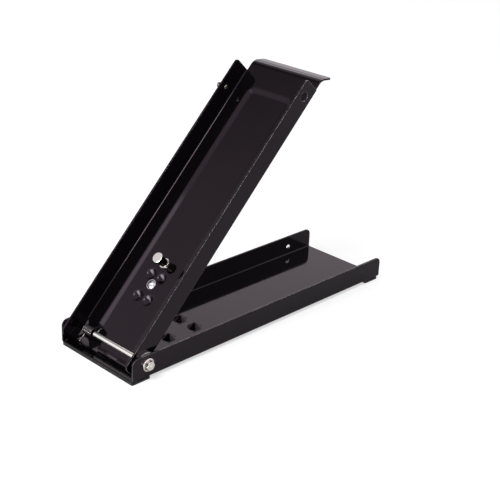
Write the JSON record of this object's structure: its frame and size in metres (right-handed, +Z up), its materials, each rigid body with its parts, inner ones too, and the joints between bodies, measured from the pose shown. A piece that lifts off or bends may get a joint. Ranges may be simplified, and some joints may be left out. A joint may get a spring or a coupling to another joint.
{
  "type": "can crusher",
  "caption": "Folding sheet steel can crusher: a channel tray on rubber feet with a sprung channel lever hinged at one end, bumps to bite the can and a bent finger lip.",
  "frame": {"origin": "middle of the footprint at rest, on the plane the two feet stand on", "axes": "+X along the tray from the hinge to the free end, +Y across the tray from the bolt head side to the latch side, +Z up"},
  "size_m": [0.3026, 0.098, 0.2101],
  "materials": {
    "black_paint": "gloss",
    "bright_steel": "polished",
    "plated_steel": "satin",
    "black_rubber": "matte"
  },
  "bodies": {
    "tray": {"base_tray": "black_paint", "foot_hinge_end": "black_rubber", "foot_free_end": "black_rubber", "hinge_bolt": "bright_steel", "hinge_nut": "plated_steel", "washer_near": "bright_steel", "washer_far": "bright_steel", "spacer_tube": "bright_steel", "torsion_spring": "plated_steel", "latch_rivet": "bright_steel"},
    "lever": {"lever_arm": "black_paint", "centre_rivet": "bright_steel", "lever_post": "bright_steel", "latch_stud": "plated_steel"},
    "latch": {"latch_hook": "plated_steel"}
  },
  "joints": [
    {"name": "lever_hinge", "type": "hinge", "parent": "tray", "child": "lever", "pos_m": [-0.13371, 0, 0.014], "axis": [0, -1, 0], "range_deg": [-45, 0], "stiffness_Nm_per_rad": 0.6, "springref_deg": 42.97, "deforming": ["torsion_spring"]},
    {"name": "latch_pivot", "type": "hinge", "parent": "tray", "child": "latch", "pos_m": [0.12029, 0.04625, 0.0109], "axis": [0, 1, 0], "range_deg": [0, 37.7]}
  ]
}
